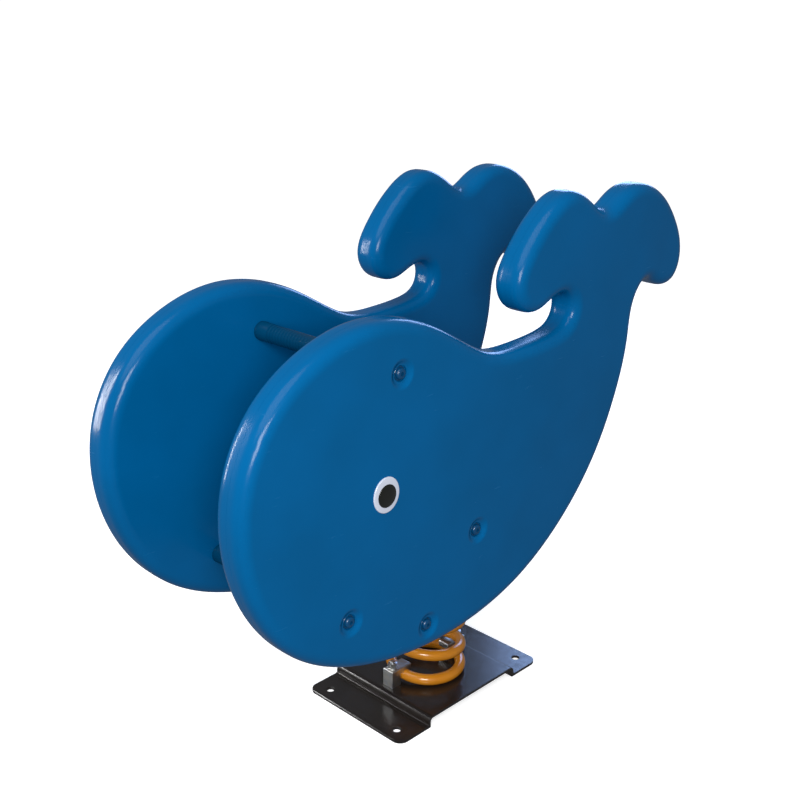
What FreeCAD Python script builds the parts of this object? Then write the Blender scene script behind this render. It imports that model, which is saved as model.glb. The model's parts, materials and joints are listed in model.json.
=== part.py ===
import FreeCAD, Part
import math
import os

# Spring rider with two whale-shaped side panels on one coil spring.
# +X is the way the rider faces, +Y is the rider's left, +Z is up.
# The origin is on the ground, on the spring's axis.

# Panels and the space between them
PANEL_GAP = 260.0            # between the inner faces of the two panels
PANEL_THICKNESS = 60.0
PANEL_EDGE_RADIUS = 21.0     # rounding of the rim, both faces
PANEL_WALL = 5.0             # moulded wall of the hollow panel
BOSS_RADIUS = 26.0           # solid core left round each bolt tunnel
DISH_RADIUS = 23.0           # shallow dish round each bolt head
DISH_DEPTH = 5.0
COUNTERBORE_RADIUS = 12.5
COUNTERBORE_DEPTH = 8.0      # below the panel's outer face

# Side view of the whale as (X, Z), from the nape backwards over the tail, then forwards along the belly
SADDLE = [(205, 764), (115, 718), (35, 680), (-40, 676)]
TAIL_ROOT = [(-105, 681), (-150, 702), (-146, 740)]
FRONT_FLUKE = [(-108, 744), (-65, 727), (-22, 738), (-5, 778), (-28, 828), (-82, 884), (-140, 911),
               (-195, 890)]
FLUKE_VALLEY = [(-240, 866)]
REAR_FLUKE = [(-285, 888), (-335, 902), (-402, 880), (-455, 825), (-477, 762), (-455, 714), (-412, 711),
              (-370, 731)]
TAIL_RISE = [(-337, 703), (-325, 640), (-296, 530)]
BELLY = [(-240, 425), (-152, 331), (-40, 262), (90, 228), (215, 226), (345, 254)]
HEAD = [(455, 317), (525, 415), (550, 520), (538, 615), (487, 700), (400, 758), (300, 780)]
WHALE_OUTLINE = SADDLE + TAIL_ROOT + FRONT_FLUKE + FLUKE_VALLEY + REAR_FLUKE + TAIL_RISE + BELLY + HEAD

# Eyes
EYE_AT = (286, 522)
EYE_WHITE_SIZE = (51.0, 56.0)
EYE_WHITE_THICKNESS = 2.6
PUPIL_AT = (286, 521)
PUPIL_DIAMETER = 36.0
PUPIL_THICKNESS = 2.4

# Cross bars between the panels
HANDLEBAR_AT = (252, 698)
FOOTREST_AT = (358, 340)
BAR_TUBE_RADIUS = 12.5
BAR_TUBE_WALL = 2.5
BAR_SLEEVE_RADIUS = 16.0
BAR_INSERT_LENGTH = 28.0
SLEEVE_END_GAP = 1.0         # between each end of a sleeve and the panel
SLEEVE_END_ROUNDING = 1.5

# Clearances
FIT_GAP = 0.2                # between nested parts
HOLE_GAP = 0.4               # between a bolt and its hole, on the radius
THREAD_GAP = 0.1
PAST = 1.0                   # how far a cutting shape runs past the face it cuts
PICK = 0.1                   # tolerance when edges are picked by their place

# Panel bolts, M10 button heads
FRAME_BOLTS_AT = [(80, 394), (194, 268)]
BOLT_RADIUS = 5.0
BUTTON_HEAD_RADIUS = 9.0
BUTTON_HEAD_HEIGHT = 5.5
BUTTON_HEAD_ROUNDING = 4.5
SOCKET_RADIUS = 3.0
SOCKET_DEPTH = 3.0
PANEL_WASHER_RADIUS = 11.0
PANEL_WASHER_THICKNESS = 2.0
SPACER_RADIUS = 8.0
PANEL_BOLT_REACH = 20.0      # how far a bolt passes the panel's inner face

# Base plate: one bent steel plate, raised in the middle
PLATE_LENGTH = 372.0
PLATE_WIDTH = 238.0
PLATE_THICKNESS = 5.0
PLATE_RAISED_LENGTH = 230.0
PLATE_RAISED_TOP = 22.0
PLATE_CORNER_RADIUS = 18.0
BEND_RADIUS = 11.0           # outside radius of each bend
CREASE_RADIUS = 3.0          # where each flange meets the raised middle
ANCHOR_SPACING_X = 322.0
ANCHOR_SPACING_Y = 172.0
ANCHOR_HOLE_RADIUS = 7.0

# Spring
WIRE_RADIUS = 10.0
COIL_RADIUS = 65.0           # to the middle of the wire
SPRING_TURNS = 5 + 5 / 6
SPRING_RISE = 250.0          # from the middle of the lowest wire to the middle of the highest
FLAT_TURNS = 0.45            # each end coil lies flat this far, then eases into the pitch
EASED_TURNS = 0.65
SPRING_START_DEG = 240.0     # where the lower tip of the wire lies, turning clockwise from above
SPRING_CUTS = [2.3, 3.5, 4.5]
CUT_GAP_TURNS = 0.0008       # 0.3 mm between two stretches

# Clamps that hold the end coils
CLAMP_BOLT_AT = 86.0         # from the spring's axis, at the front and the rear
CLAMP_WIDTH = 24.0
CLAMP_THICKNESS = 8.0
CLAMP_BOLT_RADIUS = 5.0
CLAMP_HOLE_RADIUS = 5.4
CLAMP_NUT_RADIUS = 9.2       # across the corners
CLAMP_NUT_HEIGHT = 8.0
CLAMP_HEAD_HEIGHT = 6.4
CLAMP_REACH = 50.0           # inner end of the claw, from the spring's axis
CLAMP_HEEL = 77.0            # inner face of the claw's heel, from the spring's axis
CLAMP_END = 98.0             # outer end of the claw
CLAMP_LIP = 4.0              # how far the claw reaches down over the wire
CLAMP_ROUNDING = 3.0
CLAMP_BOLT_TIP = 4.0         # thread past the nut
CLAMP_WASHER_RADIUS = 10.0
GROOVE_TURNS = 0.11          # half the length of wire that a claw is hollowed for

# Steel frame on top of the spring
HEAD_PLATE_SIZE = (212.0, 220.0, 6.0)
HEAD_PLATE_CORNER = 15.0
CROSS_TUBE_SIZE = 40.0
CROSS_TUBE_WALL = 3.0
CROSS_TUBE_CORNER = 5.0
CROSS_TUBE_AT = 50.0         # X of each cross tube, front and rear
FRAME_PLATE_THICKNESS = 6.0
FRAME_PLATE_CORNER = 12.0
FRAME_PLATE_OUTLINE = [(-74, 296), (128, 296), (172, 246), (216, 246), (222, 290), (108, 420), (56, 420),
                       (-74, 350)]
FRAME_BOLT_Y = 88.0
FRAME_NUT_RADIUS = 9.2
FRAME_NUT_HEIGHT = 8.0
FRAME_HEAD_HEIGHT = 6.4
FRAME_BOLT_TIP = 5.0
FRAME_WASHER_RADIUS = 10.0
WASHER_THICKNESS = 2.0
SEAT_POST_SIZE = 30.0
SEAT_POST_WALL = 2.5
SEAT_POST_CORNER = 4.0
SEAT_POST_Y = 45.0
SEAT_UNDERSIDE = 435.0
SEAT_PLATE_SIZE = (190.0, 170.0, 5.0)
SEAT_PLATE_CORNER = 14.0
SEAT_BOLTS_X = 75.0
SEAT_BOLTS_Y = 62.0
SEAT_BOLT_RADIUS = 4.0
SEAT_BOLT_BITE = 18.0        # thread length inside the seat
SEAT_HEAD_RADIUS = 7.4
SEAT_HEAD_HEIGHT = 5.3
SEAT_WASHER_RADIUS = 8.0

# Seat: corners of its side view as (X, Z, corner radius), and its width across
SEAT_WIDTH = 250.0
SEAT_WALL = 4.0
SEAT_EDGE_RADIUS = 11.0
SEAT_BOSS_RADIUS = 13.0
SEAT_CORNERS = [(-186, 435, 24), (130, 435, 20), (130, 484, 22), (10, 470, 400), (-90, 470, 110),
                (-142, 522, 36), (-196, 522, 20)]

INNER_FACE = PANEL_GAP / 2
OUTER_FACE = INNER_FACE + PANEL_THICKNESS
LOW_COIL_Z = PLATE_RAISED_TOP + WIRE_RADIUS
TOP_COIL_Z = LOW_COIL_Z + SPRING_RISE
HEAD_PLATE_Z = TOP_COIL_Z + WIRE_RADIUS
TUBE_Z = HEAD_PLATE_Z + HEAD_PLATE_SIZE[2]
TUBE_TOP = TUBE_Z + CROSS_TUBE_SIZE
ALONG_Y = FreeCAD.Vector(0, 1, 0)


def vec(x, y, z):
    return FreeCAD.Vector(x, y, z)


def save(node, shapes):
    """Write one node; several shapes become one group of separate solids."""
    shape = shapes[0] if len(shapes) == 1 else Part.makeCompound(shapes)
    shape.exportStep("parts/" + node + ".step")


def box(x0, x1, y0, y1, z0, z1):
    return Part.makeBox(x1 - x0, y1 - y0, z1 - z0, vec(x0, y0, z0))


def rod_y(at, radius, y0, y1):
    """Round bar along Y at the side-view point at = (X, Z)."""
    return Part.makeCylinder(radius, y1 - y0, vec(at[0], y0, at[1]), ALONG_Y)


def rod_z(x, y, radius, z0, z1):
    return Part.makeCylinder(radius, z1 - z0, vec(x, y, z0))


def ring_z(x, y, outer, inner, z0, z1):
    return rod_z(x, y, outer, z0, z1).cut(rod_z(x, y, inner, z0 - PAST, z1 + PAST))


def square_corners_z(x_size, y_size, corner_radius, z0, z1):
    """Flat plate centred on the spring's axis, with rounded corners."""
    plate = box(-x_size / 2, x_size / 2, -y_size / 2, y_size / 2, z0, z1)
    upright = [edge for edge in plate.Edges if edge.BoundBox.ZLength > z1 - z0 - PICK]
    return plate.makeFillet(corner_radius, upright)


def hexagon_z(x, y, corner_radius, z0, z1):
    """Hexagonal nut or bolt head standing along Z."""
    turns = [math.radians(60 * i) for i in range(7)]
    corners = [vec(x + corner_radius * math.cos(turn), y + corner_radius * math.sin(turn), z0)
               for turn in turns]
    return Part.Face(Part.makePolygon(corners)).extrude(vec(0, 0, z1 - z0))


def mirrored(shape):
    """The same piece on the rider's right side."""
    return shape.mirror(vec(0, 0, 0), ALONG_Y)


def smooth_outline(points, inset, y):
    """Closed smooth curve through side-view points, moved inwards by inset, in the plane at y."""
    curve = Part.BSplineCurve()
    curve.interpolate(Points=[vec(x, y, z) for x, z in points], PeriodicFlag=True)
    if inset:
        moved = []
        for x, z in points:
            where = curve.parameter(vec(x, y, z))
            moved.append(vec(x, y, z) + curve.tangent(where)[0].cross(ALONG_Y) * inset)
        curve.interpolate(Points=moved, PeriodicFlag=True)
    return Part.Wire(curve.toShape())


def rounded_outline(corners, inset, y):
    """Closed outline of straight runs joined by tangent arcs, moved inwards by inset."""
    edges, arcs = [], []
    for i, (x, z, radius) in enumerate(corners):
        corner = vec(x, y, z)
        before = vec(corners[i - 1][0], y, corners[i - 1][1]) - corner
        following = corners[(i + 1) % len(corners)]
        after = vec(following[0], y, following[1]) - corner
        before.normalize()
        after.normalize()
        half = before.getAngle(after) / 2
        middle = (before + after).normalize()
        start = corner + before * (radius / math.tan(half))
        end = corner + after * (radius / math.tan(half))
        crown = corner + middle * (radius / math.sin(half) - radius)
        arcs.append((start, crown, end))
    for i, (start, crown, end) in enumerate(arcs):
        edges.append(Part.LineSegment(arcs[i - 1][2], start).toShape())
        edges.append(Part.Arc(start, crown, end).toShape())
    wire = Part.Wire(edges)
    return wire.makeOffset2D(-inset) if inset else wire


def moulded_body(outline, y0, y1, edge_radius):
    """Flat-sided moulded body from y0 to y1 over an outline drawn at y0, with both rims rounded."""
    slab = Part.Face(outline).extrude(vec(0, y1 - y0, 0))
    rims = [edge for edge in slab.Edges if edge.BoundBox.YLength < PICK]
    return slab.makeFillet(edge_radius, rims)


def panel_bolt_places():
    return [HANDLEBAR_AT, FOOTREST_AT] + FRAME_BOLTS_AT


def whale_panel():
    """Hollow moulded panel on the rider's left, with a solid boss and a dish at each bolt."""
    low, high = INNER_FACE + PANEL_WALL, OUTER_FACE - PANEL_WALL
    outside = smooth_outline(WHALE_OUTLINE, 0, INNER_FACE)
    inside = smooth_outline(WHALE_OUTLINE, PANEL_WALL, low)
    panel = moulded_body(outside, INNER_FACE, OUTER_FACE, PANEL_EDGE_RADIUS)
    hollow = moulded_body(inside, low, high, PANEL_EDGE_RADIUS - PANEL_WALL)
    hollow = hollow.cut([rod_y(at, BOSS_RADIUS, INNER_FACE, OUTER_FACE) for at in panel_bolt_places()])
    dish_sphere = (DISH_RADIUS ** 2 + DISH_DEPTH ** 2) / (2 * DISH_DEPTH)
    cuts = [hollow]
    for x, z in panel_bolt_places():
        centre = vec(x, OUTER_FACE - DISH_DEPTH + dish_sphere, z)
        cuts.append(Part.makeSphere(dish_sphere, centre))
        cuts.append(rod_y((x, z), COUNTERBORE_RADIUS, OUTER_FACE - COUNTERBORE_DEPTH, OUTER_FACE))
        cuts.append(rod_y((x, z), SPACER_RADIUS + 2 * FIT_GAP, INNER_FACE - PAST, OUTER_FACE))
    return panel.cut(cuts)


def rounded_disc(at, size_x, size_z, y0, y1):
    """Oval disc standing on the panel's outer face, its outer rim rounded."""
    ellipse = Part.Ellipse(vec(0, 0, 0), max(size_x, size_z) / 2, min(size_x, size_z) / 2)
    face = Part.Face(Part.Wire(ellipse.toShape()))
    if size_z > size_x:
        face.rotate(vec(0, 0, 0), vec(0, 0, 1), 90)
    face.rotate(vec(0, 0, 0), vec(1, 0, 0), 90)
    face.translate(vec(at[0], y0, at[1]))
    disc = face.extrude(vec(0, y1 - y0, 0))
    rim = [edge for edge in disc.Edges if edge.BoundBox.YMin > y1 - PICK]
    return disc.makeFillet(0.5 * (y1 - y0), rim)


def eye_white():
    return rounded_disc(EYE_AT, EYE_WHITE_SIZE[0], EYE_WHITE_SIZE[1],
                        OUTER_FACE, OUTER_FACE + EYE_WHITE_THICKNESS)


def eye_pupil():
    start = OUTER_FACE + EYE_WHITE_THICKNESS
    return rounded_disc(PUPIL_AT, PUPIL_DIAMETER, PUPIL_DIAMETER, start, start + PUPIL_THICKNESS)


def panel_bolts():
    """Button-head bolts of one panel, with their threads reaching past the inner face."""
    bolts = []
    seat = OUTER_FACE - COUNTERBORE_DEPTH + PANEL_WASHER_THICKNESS
    for at in panel_bolt_places():
        head = rod_y(at, BUTTON_HEAD_RADIUS, seat, seat + BUTTON_HEAD_HEIGHT)
        rim = [edge for edge in head.Edges if edge.BoundBox.YMin > seat + BUTTON_HEAD_HEIGHT - PICK]
        head = head.makeFillet(BUTTON_HEAD_ROUNDING, rim)
        socket = rod_y(at, SOCKET_RADIUS, seat + BUTTON_HEAD_HEIGHT - SOCKET_DEPTH, OUTER_FACE)
        bolts.append(head.cut(socket).fuse(rod_y(at, BOLT_RADIUS, INNER_FACE - PANEL_BOLT_REACH, seat)))
    return bolts


def rings_y(places, outer, inner, y0, y1):
    return [rod_y(at, outer, y0, y1).cut(rod_y(at, inner, y0 - PAST, y1 + PAST)) for at in places]


def panel_washers():
    floor = OUTER_FACE - COUNTERBORE_DEPTH
    return rings_y(panel_bolt_places(), PANEL_WASHER_RADIUS, BOLT_RADIUS + FIT_GAP, floor,
                   floor + PANEL_WASHER_THICKNESS)


def panel_spacers():
    """Steel tubes that stop the bolts from crushing the hollow panel."""
    return rings_y(panel_bolt_places(), SPACER_RADIUS, BOLT_RADIUS + FIT_GAP, INNER_FACE,
                   OUTER_FACE - COUNTERBORE_DEPTH)


def bar_tube(at):
    return rings_y([at], BAR_TUBE_RADIUS, BAR_TUBE_RADIUS - BAR_TUBE_WALL, -INNER_FACE, INNER_FACE)


def bar_sleeve(at):
    """Plastic sleeve over the whole bar, its two ends rounded."""
    end = INNER_FACE - SLEEVE_END_GAP
    body = rod_y(at, BAR_SLEEVE_RADIUS, -end, end)
    rims = [edge for edge in body.Edges if edge.BoundBox.YLength < PICK]
    body = body.makeFillet(SLEEVE_END_ROUNDING, rims)
    return [body.cut(rod_y(at, BAR_TUBE_RADIUS + FIT_GAP, -INNER_FACE, INNER_FACE))]


def bar_inserts(at):
    """Threaded plugs in both ends of a bar's tube."""
    plug = rings_y([at], BAR_TUBE_RADIUS - BAR_TUBE_WALL - FIT_GAP / 2, BOLT_RADIUS + FIT_GAP / 2,
                   INNER_FACE - BAR_INSERT_LENGTH, INNER_FACE)[0]
    return [plug, mirrored(plug)]


def base_plate():
    """Hat-section plate: two flanges on the ground and a raised middle, with anchor and clamp holes."""
    half, raised, top = PLATE_LENGTH / 2, PLATE_RAISED_LENGTH / 2, PLATE_RAISED_TOP
    thick, side = PLATE_THICKNESS, PLATE_WIDTH / 2
    lower = box(-half, half, -side, side, 0, thick)
    lower = lower.cut(box(-raised + thick, raised - thick, -side - PAST, side + PAST, -PAST, thick + PAST))
    hat = box(-raised, raised, -side, side, 0, top)
    hat = hat.cut(box(-raised + thick, raised - thick, -side - PAST, side + PAST, -PAST, top - thick))
    plate = lower.fuse(hat).removeSplitter()
    for height, radius in ((top, BEND_RADIUS), (thick, CREASE_RADIUS)):
        plate = plate.makeFillet(radius, [
            edge for edge in plate.Edges if edge.BoundBox.YLength > PLATE_WIDTH - PICK
            and abs(abs(edge.BoundBox.XMin) - raised) < PICK and abs(edge.BoundBox.ZMin - height) < PICK])
    plate = plate.makeFillet(PLATE_CORNER_RADIUS, [
        edge for edge in plate.Edges if abs(edge.BoundBox.XMin) > half - PICK
        and edge.BoundBox.ZLength > thick - PICK and edge.BoundBox.YLength < PICK])
    holes = []
    for side_x in (-1, 1):
        for side_y in (-1, 1):
            holes.append(rod_z(side_x * ANCHOR_SPACING_X / 2, side_y * ANCHOR_SPACING_Y / 2,
                               ANCHOR_HOLE_RADIUS, -PAST, thick + PAST))
        holes.append(rod_z(side_x * CLAMP_BOLT_AT, 0, CLAMP_HOLE_RADIUS, 0, top + PAST))
    return plate.cut(holes)


def spring_zones():
    """(first turn, last turn, pitch) of each zone of the coil, from the bottom up."""
    pitch = SPRING_RISE / (SPRING_TURNS - FLAT_TURNS - EASED_TURNS)
    turns = [0, FLAT_TURNS, EASED_TURNS, SPRING_TURNS - EASED_TURNS, SPRING_TURNS - FLAT_TURNS, SPRING_TURNS]
    pitches = [0, pitch / 2, pitch, pitch / 2, 0]
    return list(zip(turns[:-1], turns[1:], pitches))


def spring_height(turn):
    """Height of the wire's middle above the lowest coil, after turn turns."""
    zones = [zone for zone in spring_zones() if turn > zone[0]]
    return sum(pitch * (min(turn, last) - first) for first, last, pitch in zones)


def coil_edge(turn0, turn1, pitch):
    """The wire's middle line within one zone: a flat arc or a left-hand helix."""
    angles = [math.radians(SPRING_START_DEG - 360 * turn) for turn in (turn0, (turn0 + turn1) / 2, turn1)]
    z = LOW_COIL_Z + spring_height(turn0)
    if pitch == 0:
        points = [vec(COIL_RADIUS * math.cos(angle), COIL_RADIUS * math.sin(angle), z) for angle in angles]
        return Part.Arc(*points).toShape()
    helix = Part.makeHelix(pitch, pitch * (turn1 - turn0), COIL_RADIUS, 0, True)
    helix.rotate(vec(0, 0, 0), vec(0, 0, 1), math.degrees(angles[0]))
    helix.translate(vec(0, 0, z))
    return helix.Edges[0]


def spring_stretch(turn0, turn1, radius):
    """Round wire along the coil from one turn count to another."""
    edges = [coil_edge(max(turn0, first), min(turn1, last), pitch)
             for first, last, pitch in spring_zones() if turn0 < last and turn1 > first]
    start = edges[0].FirstParameter
    section = Part.makeCircle(radius, edges[0].valueAt(start), edges[0].tangentAt(start))
    return Part.Wire(edges).makePipeShell([Part.Wire(section)], True, True)


def bottom_stretch(turns):
    """The lowest coils. The spring is the same upside down, so they are swept as the top ones and turned over."""
    stretch = spring_stretch(SPRING_TURNS - turns, SPRING_TURNS, WIRE_RADIUS)
    stretch.rotate(vec(0, 0, LOW_COIL_Z + SPRING_RISE / 2), ALONG_Y, 180)
    return stretch


def turn_at_clamp(side, upper):
    """Turn count where the end coil passes a clamp: front is side 1, rear is side -1."""
    angle = 0.0 if side > 0 else 180.0
    if upper:
        upper_tip = SPRING_START_DEG - 360 * SPRING_TURNS
        return SPRING_TURNS - ((angle - upper_tip) % 360) / 360
    return ((SPRING_START_DEG - angle) % 360) / 360


def coil_clamp_set(side, upper):
    """Claw, bolt, washer and nut that hold an end coil on its plate.

    They are made standing on a plate whose surface is at height 0, then placed.
    """
    turn = turn_at_clamp(side, upper)
    rise = spring_height(turn)
    if upper:
        rise = SPRING_RISE - rise
    plate = HEAD_PLATE_SIZE[2] if upper else PLATE_THICKNESS
    claw_top = 2 * WIRE_RADIUS + rise + CLAMP_THICKNESS
    half = CLAMP_WIDTH / 2
    claw = box(CLAMP_REACH, CLAMP_END, -half, half, claw_top - CLAMP_THICKNESS - CLAMP_LIP, claw_top)
    claw = claw.fuse(box(CLAMP_HEEL, CLAMP_END, -half, half, 0, claw_top)).removeSplitter()
    rim = [edge for edge in claw.Edges if edge.BoundBox.ZMin > claw_top - PICK]
    claw = claw.makeFillet(CLAMP_ROUNDING, rim)
    claw = claw.cut(rod_z(CLAMP_BOLT_AT, 0, CLAMP_HOLE_RADIUS, -PAST, claw_top + PAST))
    washer_top = claw_top + WASHER_THICKNESS
    nut_top = washer_top + CLAMP_NUT_HEIGHT
    head = hexagon_z(CLAMP_BOLT_AT, 0, CLAMP_NUT_RADIUS, -plate - CLAMP_HEAD_HEIGHT, -plate)
    bolt = head.fuse(rod_z(CLAMP_BOLT_AT, 0, CLAMP_BOLT_RADIUS, -plate, nut_top + CLAMP_BOLT_TIP))
    washer = ring_z(CLAMP_BOLT_AT, 0, CLAMP_WASHER_RADIUS, CLAMP_HOLE_RADIUS, claw_top, washer_top)
    thread = rod_z(CLAMP_BOLT_AT, 0, CLAMP_BOLT_RADIUS + THREAD_GAP, washer_top - PAST, nut_top + PAST)
    nut = hexagon_z(CLAMP_BOLT_AT, 0, CLAMP_NUT_RADIUS, washer_top, nut_top).cut(thread)
    pieces = [claw, bolt, washer, nut]
    if side < 0:
        for piece in pieces:
            piece.rotate(vec(0, 0, 0), vec(0, 0, 1), 180)
    if upper:
        pieces = [piece.mirror(vec(0, 0, 0), vec(0, 0, 1)) for piece in pieces]
    for piece in pieces:
        piece.translate(vec(0, 0, HEAD_PLATE_Z if upper else PLATE_RAISED_TOP))
    groove = spring_stretch(turn - GROOVE_TURNS, turn + GROOVE_TURNS, WIRE_RADIUS + FIT_GAP)
    pieces[0] = pieces[0].cut(groove)
    return pieces


def frame_bolt_places():
    return [(x, y) for x in (-CROSS_TUBE_AT, CROSS_TUBE_AT) for y in (-FRAME_BOLT_Y, FRAME_BOLT_Y)]


def spring_head_plate():
    """Flat steel plate clamped on the top coil, bolted under the cross tubes."""
    plate = square_corners_z(HEAD_PLATE_SIZE[0], HEAD_PLATE_SIZE[1], HEAD_PLATE_CORNER, HEAD_PLATE_Z, TUBE_Z)
    low, high = HEAD_PLATE_Z - PAST, TUBE_Z + PAST
    holes = [rod_z(side * CLAMP_BOLT_AT, 0, CLAMP_HOLE_RADIUS, low, high) for side in (-1, 1)]
    holes += [rod_z(x, y, BOLT_RADIUS + HOLE_GAP, low, high) for x, y in frame_bolt_places()]
    return plate.cut(holes)


def square_tube_y(x):
    """Square cross tube along Y, with rounded corners and its frame bolt holes."""
    half, end, wall = CROSS_TUBE_SIZE / 2, INNER_FACE - FRAME_PLATE_THICKNESS, CROSS_TUBE_WALL
    outer = box(x - half, x + half, -end, end, TUBE_Z, TUBE_TOP)
    outer = outer.makeFillet(CROSS_TUBE_CORNER,
                             [edge for edge in outer.Edges if edge.BoundBox.YLength > end])
    inner = box(x - half + wall, x + half - wall, -end - PAST, end + PAST, TUBE_Z + wall, TUBE_TOP - wall)
    inner = inner.makeFillet(CROSS_TUBE_CORNER - wall,
                             [edge for edge in inner.Edges if edge.BoundBox.YLength > end])
    places = [place for place in frame_bolt_places() if place[0] == x]
    return outer.cut(inner).cut([rod_z(px, py, BOLT_RADIUS + HOLE_GAP, TUBE_Z - PAST, TUBE_TOP + PAST)
                                 for px, py in places])


def frame_plate():
    """Left upright plate of the frame: welded to the cross tubes, bolted to the panel."""
    y0 = INNER_FACE - FRAME_PLATE_THICKNESS
    corners = [vec(x, y0, z) for x, z in FRAME_PLATE_OUTLINE + FRAME_PLATE_OUTLINE[:1]]
    plate = Part.Face(Part.makePolygon(corners)).extrude(vec(0, FRAME_PLATE_THICKNESS, 0))
    upright = [edge for edge in plate.Edges
               if edge.BoundBox.YLength > FRAME_PLATE_THICKNESS - PICK and edge.BoundBox.XLength < PICK]
    plate = plate.makeFillet(FRAME_PLATE_CORNER, upright)
    return plate.cut([rod_y(at, BOLT_RADIUS + HOLE_GAP, y0 - PAST, INNER_FACE + PAST)
                      for at in FRAME_BOLTS_AT])


def panel_nuts():
    """Nuts welded on the inside of the left frame plate."""
    y1 = INNER_FACE - FRAME_PLATE_THICKNESS
    nuts = []
    for x, z in FRAME_BOLTS_AT:
        nut = hexagon_z(0, 0, FRAME_NUT_RADIUS, 0, FRAME_NUT_HEIGHT)
        nut = nut.cut(rod_z(0, 0, BOLT_RADIUS + THREAD_GAP, -PAST, FRAME_NUT_HEIGHT + PAST))
        nut.rotate(vec(0, 0, 0), vec(1, 0, 0), 90)
        nut.translate(vec(x, y1, z))
        nuts.append(nut)
    return nuts


def frame_bolts():
    bolts = []
    head_z = TUBE_TOP + WASHER_THICKNESS
    for x, y in frame_bolt_places():
        shank = rod_z(x, y, BOLT_RADIUS, HEAD_PLATE_Z - FRAME_NUT_HEIGHT - FRAME_BOLT_TIP, head_z)
        bolts.append(shank.fuse(hexagon_z(x, y, FRAME_NUT_RADIUS, head_z, head_z + FRAME_HEAD_HEIGHT)))
    return bolts


def frame_washers():
    return [ring_z(x, y, FRAME_WASHER_RADIUS, BOLT_RADIUS + HOLE_GAP, TUBE_TOP, TUBE_TOP + WASHER_THICKNESS)
            for x, y in frame_bolt_places()]


def frame_nuts():
    nuts = []
    for x, y in frame_bolt_places():
        low, high = HEAD_PLATE_Z - FRAME_NUT_HEIGHT, HEAD_PLATE_Z
        nut = hexagon_z(x, y, FRAME_NUT_RADIUS, low, high)
        nuts.append(nut.cut(rod_z(x, y, BOLT_RADIUS + THREAD_GAP, low - PAST, high + PAST)))
    return nuts


def seat_posts():
    """Four short square tubes between the cross tubes and the seat plate."""
    posts = []
    half, inner = SEAT_POST_SIZE / 2, SEAT_POST_SIZE / 2 - SEAT_POST_WALL
    top = SEAT_UNDERSIDE - SEAT_PLATE_SIZE[2]
    for x in (-CROSS_TUBE_AT, CROSS_TUBE_AT):
        for y in (-SEAT_POST_Y, SEAT_POST_Y):
            post = box(x - half, x + half, y - half, y + half, TUBE_TOP, top)
            upright = [edge for edge in post.Edges if edge.BoundBox.ZLength > half]
            bore = box(x - inner, x + inner, y - inner, y + inner, TUBE_TOP - PAST, top + PAST)
            posts.append(post.makeFillet(SEAT_POST_CORNER, upright).cut(bore))
    return posts


def seat_bolt_places():
    return [(x, y) for x in (-SEAT_BOLTS_X, SEAT_BOLTS_X) for y in (-SEAT_BOLTS_Y, SEAT_BOLTS_Y)]


def seat_plate():
    low = SEAT_UNDERSIDE - SEAT_PLATE_SIZE[2]
    plate = square_corners_z(SEAT_PLATE_SIZE[0], SEAT_PLATE_SIZE[1], SEAT_PLATE_CORNER, low, SEAT_UNDERSIDE)
    return plate.cut([rod_z(x, y, SEAT_BOLT_RADIUS + HOLE_GAP, low - PAST, SEAT_UNDERSIDE + PAST)
                      for x, y in seat_bolt_places()])


def seat():
    """Hollow moulded seat between the panels, with a solid boss over each bolt."""
    half = SEAT_WIDTH / 2
    body = moulded_body(rounded_outline(SEAT_CORNERS, 0, -half), -half, half, SEAT_EDGE_RADIUS)
    low, high = SEAT_WALL - half, half - SEAT_WALL
    inside = rounded_outline(SEAT_CORNERS, SEAT_WALL, low)
    hollow = moulded_body(inside, low, high, SEAT_EDGE_RADIUS - SEAT_WALL)
    low_z, high_z = SEAT_UNDERSIDE - PAST, SEAT_CORNERS[-1][1]
    bosses = [rod_z(x, y, SEAT_BOSS_RADIUS, low_z, high_z) for x, y in seat_bolt_places()]
    tapped = [rod_z(x, y, SEAT_BOLT_RADIUS + THREAD_GAP, low_z, SEAT_UNDERSIDE + SEAT_BOLT_BITE + PAST)
              for x, y in seat_bolt_places()]
    return body.cut([hollow.cut(bosses)]).cut(tapped)


def seat_bolts():
    bolts = []
    washer_low = SEAT_UNDERSIDE - SEAT_PLATE_SIZE[2] - WASHER_THICKNESS
    for x, y in seat_bolt_places():
        shank = rod_z(x, y, SEAT_BOLT_RADIUS, washer_low, SEAT_UNDERSIDE + SEAT_BOLT_BITE)
        head = hexagon_z(x, y, SEAT_HEAD_RADIUS, washer_low - SEAT_HEAD_HEIGHT, washer_low)
        bolts.append(shank.fuse(head))
    return bolts


def seat_washers():
    top = SEAT_UNDERSIDE - SEAT_PLATE_SIZE[2]
    return [ring_z(x, y, SEAT_WASHER_RADIUS, SEAT_BOLT_RADIUS + HOLE_GAP, top - WASHER_THICKNESS, top)
            for x, y in seat_bolt_places()]


def save_left_and_right(name, shapes):
    """Write a left node and its mirror image on the right."""
    save("left_" + name, shapes)
    save("right_" + name, [mirrored(shape) for shape in shapes])


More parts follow.
